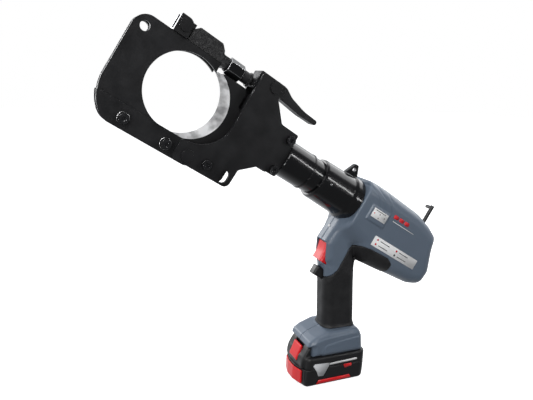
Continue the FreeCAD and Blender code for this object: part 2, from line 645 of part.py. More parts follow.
def make_housing():
    upper = [
        at(-316.4, 33), at(-323, 41, 5), at(-353, 42.3, 60), at(-434, 39, 60), at(-466, 31.5, 40), at(-487, 23, 14),
        at(-495, 0, 60), at(-511, -33, 20), at(-509, -60, 18), at(-485, -68.5, 30), at(-379, -76, 5), (-29, 236),
        at(-316.4, -37),
    ]
    upper_inside = [
        at(-316.4, 27), at(-326, 27), at(-326, 37.6, 4), at(-353, 39.2, 50), at(-434, 36, 50), at(-464, 28.5, 36),
        at(-483.5, 21, 10), at(-491.5, 0, 50), at(-507.5, -33, 16), at(-505.5, -58, 14), at(-484, -65.3, 26),
        at(-383, -72.6), (-24, 243), at(-316.4, -27),
    ]
    zone = [
        (-1.5, 269.2), (20.5, 236, 4), (21.5, 206, 2), (16.5, 196, 3), (15, 184), (-31, 184), (-31, 202), (-24, 243),
        (-12, 262),
    ]
    zone_inside = [
        (-5, 262), (16.5, 233, 2), (17.5, 208), (12.5, 198), (11.5, 180), (-28, 180), (-28, 203), (-20, 241),
    ]
    core = [(14.8, 184.5), (10, 86), (-39.8, 86), (-33.5, 184.5)]
    core_inside = [(11.3, 190), (7, 80), (-36.8, 80), (-30.5, 190)]
    foot = [
        (-42, 88.5, 4), (-47, 79, 8), (-50, FOOT_BOTTOM, 2), (38.5, FOOT_BOTTOM), (38.5, LOBE_TOP + 0.8),
        (48, LOBE_TOP + 0.8, 1), (44, 75, 6), (34, 81, 8), (12.5, 88.5, 8),
    ]
    foot_inside = [(-44, 60), (-42, 76, 6), (28, 76, 6), (33, 60)]
    channel = [(-48, 50), (60, 50), (60, 60.6), (-48, 60.6)]
    trigger_slot = [
        at(-290, TRIGGER_TOP + 0.5), at(TRIGGER_BACK - 8, TRIGGER_TOP + 0.5),
        at(TRIGGER_BACK - 8, TRIGGER_BOTTOM - 0.5), at(-290, TRIGGER_BOTTOM - 0.5),
    ]
    release_slot = [
        at(-310, RELEASE_TOP + 0.4), at(RELEASE_BACK - 6, RELEASE_TOP + 0.4),
        at(RELEASE_BACK - 6, RELEASE_BOTTOM - 0.4), at(-310, RELEASE_BOTTOM - 0.4),
    ]
    halves = {"Dims.body_half": upper, "Dims.zone_half": zone, "Dims.core_half": core, "Dims.foot_half": foot}
    hollows = [
        (upper_inside, "Dims.body_half - Dims.wall"), (zone_inside, "Dims.zone_half - Dims.wall"),
        (core_inside, "Dims.core_half - Dims.wall"), (foot_inside, "30"), (channel, "21"),
        (trigger_slot, "Dims.trigger_half + Dims.running_gap"), (release_slot, "Dims.release_half + Dims.running_gap"),
    ]
    screw_holes = [(*at(u, v)[:2], "3.2") for u, v in SCREW_BOSSES]
    layered("housing_left", SIDE,
            [(outline, "0", half, []) for half, outline in halves.items()],
            [(outline, "0", half) for outline, half in hollows])
    layered("housing_right", SIDE,
            [(outline, f"-{half}", "0", screw_holes if outline is upper else []) for half, outline in halves.items()],
            [(outline, f"-({half})", "0") for outline, half in hollows])
    screws = []
    for index, (u, v) in enumerate(SCREW_BOSSES):
        screws.append(pin(f"housing_screw_{index}", HEAD, u, v, "-Dims.body_half + 0.6", "-14", "3.2"))
    keep("housing_screws", group("housing_screws", screws))

    grip = [(18.3, 183.6, 2), (13.5, 89.2, 2), (-43.3, 89.2, 2), (-37, 183.6, 2)]
    layered("rubber_grip", SIDE, [(grip, "-Dims.grip_half", "Dims.grip_half", [])], [
        (core, "-Dims.core_half", "Dims.core_half"),
        (release_slot, "-Dims.release_half - Dims.running_gap", "Dims.release_half + Dims.running_gap"),
    ])


HOOK_U = -471


def make_controls():
    trigger = [
        (TRIGGER_FACE, TRIGGER_TOP, 2), (TRIGGER_FACE - 4.5, -91, 14), (TRIGGER_FACE - 4.5, TRIGGER_BOTTOM, 2),
        (TRIGGER_BACK, TRIGGER_BOTTOM, 1), (TRIGGER_BACK, TRIGGER_TOP, 1),
    ]
    layered("trigger", HEAD, [(trigger, "-Dims.trigger_half", "Dims.trigger_half", [])])
    release = rectangle(RELEASE_BACK, RELEASE_FACE, RELEASE_BOTTOM, RELEASE_TOP, 1)
    layered("release_button", HEAD, [(release, "-Dims.release_half", "Dims.release_half", [])])
    stem = post("hook_stem", HOOK_U, 31.3, 68.4, 3.3)
    bend = pin("hook_bend", HEAD, HOOK_U, 64.6, "-13", "0", "3")
    keep("tail_hook", fused("tail_hook", [stem, bend]))


# ---------------------------------------------------------------- battery pack
CASE_NOSE, LID_NOSE = 60.0, 57.5


def make_battery():
    half_length, half_width = size("battery_length") / 2, size("battery_width") / 2

    def plan(back, nose, edge):
        """The pack from above: a blunt nose in front, rounded corners behind."""
        return [(back, -edge, 12), (nose - 8.5, -edge, 9), (nose, -9, 12), (nose, 9, 12), (nose - 8.5, edge, 9),
                (back, edge, 12)]

    case_plan = plan(-half_length, CASE_NOSE, half_width)
    lid_plan = plan(-half_length, LID_NOSE, half_width)
    room = plan(-half_length + 3, LID_NOSE - 4, half_width - 3)
    seam, top = "Dims.battery_seam", "Dims.battery_top"
    layered("battery_case", LEVEL, [(case_plan, f"-{seam}", "0", [])], [(room, f"-{seam}", "-3")])
    rail = rectangle(-45, 36, -19.5, 19.5, 3)
    lower_lid = layered("lid_lower", LEVEL, [(lid_plan, f"-{top}", f"-{seam}", []), (rail, "-59.5", f"-{top}", [])],
                        [(room, "-46", f"-{seam}")], kept=False)
    lobe_outline = [(40, 48), (40, LOBE_TOP, 2), (45, LOBE_TOP, 3), (55.5, 48)]
    lobe = layered("lid_lobe", SIDE, [(lobe_outline, "-30", "30", [])], kept=False)
    recess = block("lid_recess", LEVEL, (42.9, -13.4, 36.7), (70, 13.4, 70))
    keep("battery_lid", cut("battery_lid", fused("lid_blank", [lower_lid, lobe]), recess))
    cells = []
    for column in range(5):
        for level in range(2):
            radius = size("cell_radius")
            across = -40.5 + column * (2 * radius + 0.3)
            up = 3 + radius + level * (2 * radius + 0.3)
            cells.append(pin(f"cell_{column}_{level}", SIDE, across, up, "-Dims.cell_length / 2",
                             "Dims.cell_length / 2", "Dims.cell_radius"))
    keep("battery_cells", group("battery_cells", cells))
    side_x = CASE_NOSE - 5.67
    bumper = [(side_x, -28), (CASE_NOSE, -9, 12), (CASE_NOSE, 9, 12), (side_x, 28), (side_x + 1.8, 28, 1),
              (CASE_NOSE + 1.8, 9.4, 6), (CASE_NOSE + 1.8, -9.4, 6), (side_x + 1.8, -28, 1)]
    layered("battery_bumper", LEVEL, [(bumper, "-27", "-4", [])])
    button = [(47.5, 37.2, 1), (60, 37.2, 2), (59, 42, 4), (51, 61.5, 1), (47.5, 61.5, 1)]
    layered("battery_button", SIDE, [(button, "-13", "13", [])])


make_jaw()
make_latch()
make_cheeks()
make_lever()
make_cylinder()
make_ram()
make_drive()
make_inside()
make_housing()
make_controls()
make_battery()
doc.recompute()

# ---------------------------------------------------------------- checks and export
for item in doc.Objects:
    if "Invalid" in item.State or "Error" in item.State:
        raise RuntimeError(f"{item.Name} failed: {item.State}")
for item in SUBPARTS:
    if item.Shape.isNull() or not item.Shape.isValid():
        raise RuntimeError(f"{item.Label}: bad shape")

os.makedirs("parts", exist_ok=True)
for item in SUBPARTS:
    item.Shape.exportStep(f"parts/{item.Label}.step")
    print(f"{item.Label:18s} solids {len(item.Shape.Solids):2d} volume {item.Shape.Volume / 1000:8.2f} cm3")
print(len(SUBPARTS), "nodes")
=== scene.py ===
# Looks of the battery hydraulic cable cutter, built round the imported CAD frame.
# Lengths here are millimetres until a mesh is made; the frame itself is in metres.
import math

import bmesh
import bpy
import numpy as np
from mathutils import Matrix, Vector


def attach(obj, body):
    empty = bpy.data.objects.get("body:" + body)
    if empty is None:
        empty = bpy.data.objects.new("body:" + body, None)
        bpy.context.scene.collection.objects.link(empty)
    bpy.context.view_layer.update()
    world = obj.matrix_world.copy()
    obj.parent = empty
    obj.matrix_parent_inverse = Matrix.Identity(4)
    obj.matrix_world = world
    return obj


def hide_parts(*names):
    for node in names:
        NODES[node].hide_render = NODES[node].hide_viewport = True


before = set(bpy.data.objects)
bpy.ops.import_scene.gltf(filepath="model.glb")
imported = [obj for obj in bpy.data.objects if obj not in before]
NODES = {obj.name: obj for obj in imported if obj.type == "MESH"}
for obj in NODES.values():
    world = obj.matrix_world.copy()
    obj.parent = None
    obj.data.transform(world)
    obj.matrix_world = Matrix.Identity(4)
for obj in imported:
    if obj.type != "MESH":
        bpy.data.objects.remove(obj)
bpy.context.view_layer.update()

MM = 0.001

# ---------------------------------------------------------------- the two frames
# The head frame: u forward along the barrel, v up across it, from the middle of the cutting opening.
RISE = math.radians(30.7)
COS, SIN = math.cos(RISE), math.sin(RISE)
HEAD_X, HEAD_Z = 245.9, 459.3
TO_HEAD = Matrix(((COS, 0, -SIN, HEAD_X), (0, 1, 0, 0), (SIN, 0, COS, HEAD_Z), (0, 0, 0, 1)))


def at(u, v):
    """A point of the head frame as (X, Z)."""
    return (HEAD_X + u * COS - v * SIN, HEAD_Z + u * SIN + v * COS)


def head_point(u, y, v):
    x, z = at(u, v)
    return Vector((x, y, z))


# ---------------------------------------------------------------- outlines and distance fields
def rounded(points, per_arc=7):
    """Outline corners (x, z, radius) as a polygon whose corners are arcs."""
    result = []
    count = len(points)
    for index, corner in enumerate(points):
        here = np.array(corner[:2], float)
        radius = corner[2] if len(corner) > 2 else 0
        if radius == 0:
            result.append(here)
            continue
        back = np.array(points[index - 1][:2], float) - here
        ahead = np.array(points[(index + 1) % count][:2], float) - here
        back /= np.linalg.norm(back)
        ahead /= np.linalg.norm(ahead)
        half = math.acos(np.clip(back @ ahead, -1, 1)) / 2
        bisector = (back + ahead) / np.linalg.norm(back + ahead)
        centre = here + bisector * radius / math.sin(half)
        first = here + back * radius / math.tan(half) - centre
        last = here + ahead * radius / math.tan(half) - centre
        sweep = math.pi - 2 * half
        turn = math.copysign(1, first[0] * last[1] - first[1] * last[0])
        for step in range(per_arc + 1):
            angle = turn * sweep * step / per_arc
            c, s = math.cos(angle), math.sin(angle)
            result.append(centre + (first[0] * c - first[1] * s, first[0] * s + first[1] * c))
    return np.array(result)


def inside_outline(polygon, x, z):
    """Signed distance to a polygon, negative inside. x and z may be any arrays that broadcast."""
    x, z = np.broadcast_arrays(x, z)
    best = np.full(x.shape, 1e18)
    inside = np.zeros(x.shape, bool)
    for index in range(len(polygon)):
        ax, az = polygon[index]
        bx, bz = polygon[index - 1]
        ex, ez = bx - ax, bz - az
        px, pz = x - ax, z - az
        along = np.clip((px * ex + pz * ez) / (ex * ex + ez * ez + 1e-12), 0, 1)
        best = np.minimum(best, (px - ex * along) ** 2 + (pz - ez * along) ** 2)
        crosses = ((az > z) != (bz > z)) & (x < (bx - ax) * (z - az) / (bz - az + 1e-12) + ax)
        inside ^= crosses
    return np.where(inside, -np.sqrt(best), np.sqrt(best))


def plate(flat, y, half, radius):
    """A flat shape given thickness, with its rim rounded."""
    a = flat + radius
    b = np.abs(y) - half + radius
    return np.minimum(np.maximum(a, b), 0) + np.hypot(np.maximum(a, 0), np.maximum(b, 0)) - radius


def slab(value, low, high):
    return np.maximum(low - value, value - high)


def join(a, b, blend):
    """Union with a fillet."""
    mix = np.clip(0.5 + 0.5 * (b - a) / blend, 0, 1)
    return b * (1 - mix) + a * mix - blend * mix * (1 - mix)


def meet(a, b, blend):
    """Overlap with a rounded edge."""
    return -join(-a, -b, blend)


def step_between(low, high, value):
    t = np.clip((value - low) / (high - low), 0, 1)
    return t * t * (3 - 2 * t)


# ---------------------------------------------------------------- meshes
def finish_mesh(name, mesh, smooth=True):
    mesh.validate()
    mesh.update()
    for polygon in mesh.polygons:
        polygon.use_smooth = smooth
    piece = bpy.data.objects.new(name, mesh)
    bpy.context.scene.collection.objects.link(piece)
    return piece


def mesh_from_field(name, field, low, high, step):
    """A closed surface where a distance field is zero, by surface nets, pulled onto the field."""
    low, high = np.array(low, float), np.array(high, float)
    counts = np.ceil((high - low) / step).astype(int) + 1
    axes = [low[k] + step * np.arange(counts[k]) for k in range(3)]
    values = field(axes[0][:, None, None], axes[1][None, :, None], axes[2][None, None, :])
    values = np.broadcast_to(values, counts).copy()
    cells = tuple(counts - 1)
    total = np.zeros(cells + (3,))
    hits = np.zeros(cells)
    for axis in range(3):
        others = [(axis + 1) % 3, (axis + 2) % 3]
        start = [slice(None)] * 3
        end = [slice(None)] * 3
        start[axis], end[axis] = slice(0, -1), slice(1, None)
        a, b = values[tuple(start)], values[tuple(end)]
        crossing = (a < 0) != (b < 0)
        along = np.where(crossing, a / np.where(a == b, 1, a - b), 0)
        for first in (0, 1):
            for second in (0, 1):
                pick = [slice(None)] * 3
                pick[others[0]] = slice(first, first + cells[others[0]])
                pick[others[1]] = slice(second, second + cells[others[1]])
                hit = crossing[tuple(pick)]
                total[..., axis] += along[tuple(pick)]
                total[..., others[0]] += hit * first
                total[..., others[1]] += hit * second
                hits += hit
    active = hits > 0
    number = np.full(cells, -1)
    number[active] = np.arange(active.sum())
    spots = low + step * (np.argwhere(active) + total[active] / hits[active][:, None])
    faces = []
    for axis in range(3):
        one, two = (axis + 1) % 3, (axis + 2) % 3
        start = [slice(1, -1)] * 3
        end = [slice(1, -1)] * 3
        start[axis], end[axis] = slice(0, -1), slice(1, None)
        a, b = values[tuple(start)], values[tuple(end)]
        quads = []
        for back_one, back_two in ((1, 1), (0, 1), (0, 0), (1, 0)):
            pick = [slice(None)] * 3
            pick[one] = slice(1 - back_one, cells[one] - back_one)
            pick[two] = slice(1 - back_two, cells[two] - back_two)
            quads.append(number[tuple(pick)])
        quads = np.stack(quads, -1)
        leaving = (a < 0) & (b >= 0)
        entering = (a >= 0) & (b < 0)
        faces.append(quads[leaving])
        faces.append(quads[entering][:, ::-1])
    faces = np.concatenate(faces)
    for _ in range(3):
        x, y, z = spots.T
        here = field(x, y, z)
        small = 0.05
        slope = np.stack([field(x + small, y, z) - here, field(x, y + small, z) - here,
                          field(x, y, z + small) - here], 1) / small
        size = np.maximum((slope ** 2).sum(1), 0.2)
        move = slope * (here / size)[:, None]
        length = np.linalg.norm(move, axis=1, keepdims=True)
        spots = spots - move * np.minimum(1, 0.4 * step / np.maximum(length, 1e-9))
    mesh = bpy.data.meshes.new(name)
    mesh.vertices.add(len(spots))
    mesh.vertices.foreach_set("co", (spots * MM).ravel())
    mesh.loops.add(faces.size)
    mesh.loops.foreach_set("vertex_index", faces.ravel().astype(np.int32))
    mesh.polygons.add(len(faces))
    mesh.polygons.foreach_set("loop_start", np.arange(0, faces.size, 4, dtype=np.int32))
    return finish_mesh(name, mesh)


def bevel(piece, width, segments=3, angle=35, material=None):
    """Rounded edges on a piece, after any doubled points are welded."""
    weld = piece.modifiers.new("weld", "WELD")
    weld.merge_threshold = 1e-6
    edge = piece.modifiers.new("edges", "BEVEL")
    edge.width = width * MM
    edge.segments = segments
    edge.limit_method = "ANGLE"
    edge.angle_limit = math.radians(angle)
    edge.harden_normals = False
    edge.miter_outer = "MITER_ARC"
    if material is not None:
        edge.material = material
    normal = piece.modifiers.new("normals", "WEIGHTED_NORMAL")
    normal.keep_sharp = True
    return piece


def prism(name, outline, low, high, frame_matrix=None, per_arc=8):
    """An outline in (x, z) or (u, v), between two distances on the tool's left."""
    polygon = rounded(outline, per_arc)
    area = 0.0
    for index in range(len(polygon)):
        area += polygon[index - 1][0] * polygon[index][1] - polygon[index][0] * polygon[index - 1][1]
    if area < 0:
        polygon = polygon[::-1]
    mesh = bmesh.new()
    near = [mesh.verts.new((x, high, z)) for x, z in polygon]
    far = [mesh.verts.new((x, low, z)) for x, z in polygon]
    mesh.faces.new(near[::-1])
    mesh.faces.new(far)
    count = len(polygon)
    for index in range(count):
        following = (index + 1) % count
        mesh.faces.new((near[index], near[following], far[following], far[index]))
    return from_bmesh(name, mesh, frame_matrix)


def from_bmesh(name, mesh, frame_matrix=None, smooth=True):
    if frame_matrix is not None:
        mesh.transform(frame_matrix)
    mesh.transform(Matrix.Scale(MM, 4))
    bmesh.ops.recalc_face_normals(mesh, faces=mesh.faces)
    data = bpy.data.meshes.new(name)
    mesh.to_mesh(data)
    mesh.free()
    return finish_mesh(name, data, smooth)


# ---------------------------------------------------------------- materials
RAMP_SOCKETS = ("From Min", "From Max", "To Min", "To Max")


class Shader:
    """A node material: one Principled shader, with helpers for colour, roughness and bump."""

    def __init__(self, name, colour, roughness, metallic=0.0, **sockets):
        self.material = bpy.data.materials.new(name)
        self.material.use_nodes = True
        self.nodes = self.material.node_tree.nodes
        self.links = self.material.node_tree.links
        self.surface = self.nodes["Principled BSDF"]
        self.set("Base Color", (*colour, 1))
        self.set("Roughness", roughness)
        self.set("Metallic", metallic)
        for key, value in sockets.items():
            self.set(key.replace("_", " "), value)
        self.height = None
        coordinates = self.nodes.new("ShaderNodeTexCoord")
        self.place = coordinates.outputs["Object"]
        self.normals = coordinates.outputs["Normal"]

    def set(self, socket, value):
        self.surface.inputs[socket].default_value = value

    def noise(self, scale, detail=4.0, roughness=0.55, stretch=None):
        texture = self.nodes.new("ShaderNodeTexNoise")
        texture.inputs["Scale"].default_value = scale
        texture.inputs["Detail"].default_value = detail
        texture.inputs["Roughness"].default_value = roughness
        where = self.place
        if stretch is not None:
            mapping = self.nodes.new("ShaderNodeMapping")
            mapping.inputs["Scale"].default_value = stretch[0]
            mapping.inputs["Rotation"].default_value = stretch[1]
            self.links.new(self.place, mapping.inputs["Vector"])
            where = mapping.outputs["Vector"]
        self.links.new(where, texture.inputs["Vector"])
        return texture.outputs["Fac"]

    def ramp(self, value, low, high, out_low=0.0, out_high=1.0):
        node = self.nodes.new("ShaderNodeMapRange")
        for socket, number in zip(RAMP_SOCKETS, (low, high, out_low, out_high)):
            node.inputs[socket].default_value = number
        self.links.new(value, node.inputs["Value"])
        return node.outputs["Result"]

    def tint(self, value, first, second):
        """Base colour between two colours, by a value from 0 to 1."""
        mix = self.nodes.new("ShaderNodeMix")
        mix.data_type = "RGBA"
        mix.inputs["A"].default_value = (*first, 1)
        mix.inputs["B"].default_value = (*second, 1)
        self.links.new(value, mix.inputs["Factor"])
        self.links.new(mix.outputs["Result"], self.surface.inputs["Base Color"])
        return mix

    def facing(self, direction):
        """How far the surface looks along a direction of the frame, from -1 to 1."""
        node = self.nodes.new("ShaderNodeVectorMath")
        node.operation = "DOT_PRODUCT"
        node.inputs[1].default_value = direction
        self.links.new(self.normals, node.inputs[0])
        return node.outputs["Value"]

    def product(self, first, second):
        node = self.nodes.new("ShaderNodeMath")
        node.operation = "MULTIPLY"
        self.links.new(first, node.inputs[0])
        self.links.new(second, node.inputs[1])
        return node.outputs["Value"]

    def rough(self, value):
        self.links.new(value, self.surface.inputs["Roughness"])

    def bump(self, value, strength, distance):
        node = self.nodes.new("ShaderNodeBump")
        node.inputs["Strength"].default_value = strength
        node.inputs["Distance"].default_value = distance
        self.links.new(value, node.inputs["Height"])
        if self.height is not None:
            self.links.new(self.height, node.inputs["Normal"])
        self.height = node.outputs["Normal"]
        self.links.new(self.height, self.surface.inputs["Normal"])


def black_steel(name="black_oxide"):
    """Black-oxide plate: satin, a little blotchy, with faint grinding marks."""
    m = Shader(name, (0.02, 0.02, 0.022), 0.42, 0.4)
    blotch = m.noise(28, 6)
    m.tint(m.ramp(blotch, 0.35, 0.7), (0.010, 0.010, 0.011), (0.024, 0.024, 0.026))
    m.rough(m.ramp(m.noise(60, 5), 0.3, 0.7, 0.36, 0.54))
    m.bump(m.noise(900, 3), 0.12, 0.0002)
    return m


def worn_edge():
    """Bright steel where the oxide has rubbed off the edges."""
    m = Shader("worn_edge", (0.3, 0.3, 0.31), 0.34, 0.9)
    m.tint(m.ramp(m.noise(140, 5), 0.38, 0.56), (0.07, 0.07, 0.073), (0.85, 0.85, 0.85))
    return m.material


def ground_face(name, direction, low, high):
    """Black plate ground bright on the faces that look along one direction."""
    m = black_steel(name)
    share = m.product(m.ramp(m.facing(direction), low, high), m.ramp(m.noise(45, 4), 0.34, 0.5, 0.35, 1.0))
    m.tint(share, (0.016, 0.016, 0.017), (0.72, 0.72, 0.73))
    m.links.new(m.ramp(share, 0, 1, 0.4, 0.95), m.surface.inputs["Metallic"])
    return m.material


def cast_black():
    m = Shader("black_casting", (0.02, 0.02, 0.021), 0.5, 0.35)
    grain = m.noise(520, 4, 0.7)
    m.tint(m.ramp(grain, 0.45, 0.75), (0.012, 0.012, 0.013), (0.075, 0.075, 0.075))
    m.bump(grain, 0.9, 0.0012)
    m.bump(m.noise(170, 3), 0.5, 0.0012)
    return m.material


def barrel_black():
    m = Shader("barrel_black", (0.006, 0.006, 0.007), 0.16, 0.3, Coat_Weight=0.4, Coat_Roughness=0.08)
    m.rough(m.ramp(m.noise(35, 5), 0.3, 0.7, 0.12, 0.24))
    m.bump(m.noise(1500, 2), 0.04, 0.0001)
    return m.material


def bright_steel(name="bright_steel", colour=(0.62, 0.62, 0.63), roughness=0.24):
    m = Shader(name, colour, roughness, 1.0)
    m.rough(m.ramp(m.noise(300, 4), 0.3, 0.7, roughness - 0.07, roughness + 0.1))
    m.tint(m.ramp(m.noise(90, 4), 0.3, 0.75), tuple(c * 0.75 for c in colour), colour)
    m.bump(m.noise(1200, 2), 0.05, 0.0001)
    return m.material


def blade_steel():
    """Black blade with a bright ground bevel: the faces that lean away from the flat sides."""
    m = black_steel("blade_steel")
    lean = m.nodes.new("ShaderNodeMath")
    lean.operation = "ABSOLUTE"
    m.links.new(m.facing((0, 1, 0)), lean.inputs[0])
    sides = m.product(m.ramp(lean.outputs["Value"], 0.996, 0.985), m.ramp(lean.outputs["Value"], 0.35, 0.55))
    patches = m.ramp(m.noise(38, 3), 0.36, 0.55, 0.35, 1.0)
    m.tint(m.product(sides, patches), (0.016, 0.016, 0.017), (0.8, 0.8, 0.81))
    m.links.new(m.ramp(sides, 0, 1, 0.4, 0.95), m.surface.inputs["Metallic"])
    m.bump(m.noise(260, 4, 0.6, ((0.15, 1.0, 3.0), (0, 0, 0))), 0.15, 0.0002)
    return m.material


def grey_plastic():
    m = Shader("blue_grey_plastic", (0.125, 0.162, 0.215), 0.38, 0.0, Coat_Weight=0.2, Coat_Roughness=0.2)
    m.tint(m.ramp(m.noise(9, 3), 0.3, 0.7), (0.118, 0.155, 0.205), (0.136, 0.172, 0.226))
    m.rough(m.ramp(m.noise(50, 4), 0.3, 0.7, 0.3, 0.42))
    m.bump(m.noise(1700, 2), 0.08, 0.0001)
    return m.material


def grip_rubber():
    m = Shader("grip_rubber", (0.012, 0.012, 0.013), 0.5, 0.0, Specular_IOR_Level=0.45)
    m.tint(m.ramp(m.noise(45, 4), 0.3, 0.7), (0.008, 0.008, 0.009), (0.02, 0.02, 0.021))
    m.rough(m.ramp(m.noise(80, 4), 0.3, 0.7, 0.42, 0.6))
    m.bump(m.noise(1100, 3), 0.35, 0.0003)
    return m.material


def black_plastic():
    m = Shader("black_plastic", (0.012, 0.012, 0.013), 0.36)
    m.rough(m.ramp(m.noise(70, 4), 0.3, 0.7, 0.3, 0.46))
    m.bump(m.noise(1400, 2), 0.12, 0.0002)
    return m.material


def red_plastic():
    m = Shader("red_plastic", (0.75, 0.008, 0.012), 0.34, 0.0, Coat_Weight=0.15, Coat_Roughness=0.2)
    m.tint(m.ramp(m.noise(40, 3), 0.3, 0.7), (0.68, 0.006, 0.01), (0.82, 0.012, 0.016))
    m.bump(m.noise(1300, 2), 0.12, 0.0002)
    return m.material


def print_ink(name, colour, roughness=0.45):
    m = Shader(name, colour, roughness)
    m.tint(m.ramp(m.noise(60, 3), 0.3, 0.7), tuple(c * 0.94 for c in colour), colour)
    return m.material


def black_seal():
    m = Shader("seal_rubber", (0.01, 0.01, 0.01), 0.55)
    m.bump(m.noise(800, 3), 0.2, 0.0002)
    return m.material


def cell_wrap():
    m = Shader("cell_wrap", (0.05, 0.14, 0.32), 0.3)
    m.tint(m.ramp(m.noise(20, 2), 0.3, 0.7), (0.04, 0.12, 0.28), (0.06, 0.17, 0.38))
    return m.material


def board_green():
    m = Shader("board_green", (0.01, 0.11, 0.04), 0.35)
    m.tint(m.ramp(m.noise(600, 1), 0.52, 0.56), (0.01, 0.1, 0.035), (0.03, 0.16, 0.06))
    return m.material


def brass():
    m = Shader("brass", (0.6, 0.42, 0.16), 0.3, 1.0)
    m.rough(m.ramp(m.noise(150, 4), 0.3, 0.7, 0.22, 0.4))
    return m.material


OXIDE, WORN, CAST, BARREL = black_steel().material, worn_edge(), cast_black(), barrel_black()
STEEL, ZINC = bright_steel(), bright_steel("zinc_steel", (0.42, 0.42, 0.43), 0.32)
BLADE_STEEL = blade_steel()
FRONT_STEEL = ground_face("ground_front", (COS, 0, SIN), 0.55, 0.8)
SCREW_BLACK = bright_steel("screw_black", (0.085, 0.085, 0.09), 0.3)
GREY, RUBBER, BLACK, RED = grey_plastic(), grip_rubber(), black_plastic(), red_plastic()
WHITE_INK = print_ink("white_print", (0.85, 0.85, 0.85))
RED_INK = print_ink("red_print", (0.75, 0.02, 0.03))
BLACK_INK = print_ink("black_print", (0.03, 0.03, 0.03))
SILVER_INK = print_ink("silver_print", (0.6, 0.61, 0.63), 0.3)
SEAL, WRAP, BOARD, BRASS = black_seal(), cell_wrap(), board_green(), brass()


def paint(piece, *materials):
    piece.data.materials.clear()
    for material in materials:
        piece.data.materials.append(material)
    return piece


def add(piece, body, materials, stands_for=()):
    """Material, body, slot and replaced nodes of one new piece."""
    paint(piece, *materials)
    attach(piece, body)
    if stands_for:
        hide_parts(*stands_for)
    return piece


# ---------------------------------------------------------------- CAD nodes that keep their shape
def dress_cad_nodes():
    edged = {
        "jaw_plate_left": 0.5, "jaw_plate_right": 0.5, "strap_plate_left": 0.45, "strap_plate_right": 0.45,
        "cheek_left": 0.5, "cheek_right": 0.5, "jaw_spacers": 0.4, "latch_tab": 0.5, "jaw_washers": 0.35,
        "hinge_pin": 0.35, "lever_pin": 0.35, "latch_pin": 0.35, "lever": 1.2, "blade_guides": 0.3,
    }
    for node, width in edged.items():
        piece = paint(NODES[node], OXIDE, WORN)
        bevel(piece, width, 2, 40, 1)
    bevel(paint(NODES["latch_block"], FRONT_STEEL, WORN), 0.6, 2, 40, 1)
    for node in ("jaw_screws", "jaw_nuts", "cheek_screws", "cheek_nuts"):
        bevel(paint(NODES[node], SCREW_BLACK, STEEL), 0.5, 2, 40, 1)
    bevel(paint(NODES["housing_screws"], ZINC, STEEL), 0.35, 2, 40, 1)
    for node in ("piston_rod", "blade_pin", "cylinder_flange", "piston", "eccentric_shaft", "drive_gear",
                 "drive_pinion", "rotor_shaft", "pump_plunger"):
        bevel(paint(NODES[node], STEEL), 0.2, 1, 40)
    for node in ("pump_block", "gearbox_case", "motor_can"):
        bevel(paint(NODES[node], ZINC), 0.3, 1, 40)
    for node in ("piston_seal", "oil_reservoir"):
        paint(NODES[node], SEAL)
    paint(NODES["relief_valve"], BRASS)
    paint(NODES["rotor_core"], ZINC)
    paint(NODES["control_board"], BOARD)
    paint(NODES["battery_cells"], WRAP)
    for node in ("switch_module", "terminal_block"):
        bevel(paint(NODES[node], BLACK), 0.4, 2)
    bevel(paint(NODES["latch_arm"], CAST), 1.0, 3, 30)
    bevel(paint(NODES["latch_rod"], OXIDE, STEEL), 0.3, 2, 40, 1)
    bevel(paint(NODES["latch_nut"], BARREL, STEEL), 0.5, 2, 40, 1)
    bevel(paint(NODES["retaining_ring"], BARREL), 0.2, 1, 40)
    for node in ("cylinder_tube", "swivel_collar", "strap_lug", "tail_hook"):
        bevel(paint(NODES[node], BARREL), 0.4, 2, 40)
    bevel(paint(NODES["blade"], BLADE_STEEL, WORN), 0.25, 1, 50, 1)


# ---------------------------------------------------------------- housing, grip and foot
BODY = [
    (*at(-296, 41), 0), (*at(-353, 42.7), 60), (*at(-434, 39.5), 60), (*at(-466, 32), 40),
    (*at(-487.5, 23.4), 14),
    (*at(-495.5, 0), 60), (*at(-511.5, -33), 20), (*at(-509.5, -60.4), 18), (*at(-485, -69), 30),
    (*at(-379, -76.4), 5), (-28, 232), (*at(-296, -40), 0),
]
ZONE = [
    (-14, 285, 0), (-2, 270, 3), (20.6, 236.3, 3), (21.6, 206.3, 3), (15.6, 196, 4), (12, 186, 8),
    (11.5, 170), (-31, 170), (-31, 202, 4), (-24, 243, 0), (-16, 275, 0),
]
HANDLE = [(18.8, 200), (12.2, 80), (-44.2, 80), (-41.8, 115, 40), (-35.6, 200)]
FOOT = [
    (-42.3, 88.8, 5), (-47.3, 79, 8), (-50.3, 50.3, 2), (39, 50.3, 0.5), (39, 66.8, 0.5), (48.3, 66.8, 1),
    (44.3, 75, 6), (34.3, 81.3, 8), (12.5, 89, 8),
]
RUBBER_EDGE = [
    (40, 168), (21, 174.5), (9.5, 181.5, 12), (-1, 191, 14), (-11.5, 209, 20), (-18, 222, 10),
    (-27, 228.8, 8), (-37, 229.5, 10), (-50, 225, 16), (-84, 206.5, 10), (-92, 195.5, 8), (-88, 181.5, 8),
    (-72, 160), (-60, 150), (-60, 88.6), (40, 89.4),
]
# the two raised panels on each side of the foot
PANEL_ONE = [(-80, 40), (40.2, 40), (39.6, 76, 7), (16, 80.6, 30), (-36, 84), (-80, 86)]
PANEL_TWO = [(-80, 40), (23, 40), (21, 68.5, 8), (-9, 73.4, 30), (-38, 76), (-80, 78)]
BODY_2D, ZONE_2D, HANDLE_2D, FOOT_2D, RUBBER_2D, PANEL_ONE_2D, PANEL_TWO_2D = [
    rounded(shape) for shape in (BODY, ZONE, HANDLE, FOOT, RUBBER_EDGE, PANEL_ONE, PANEL_TWO)
]


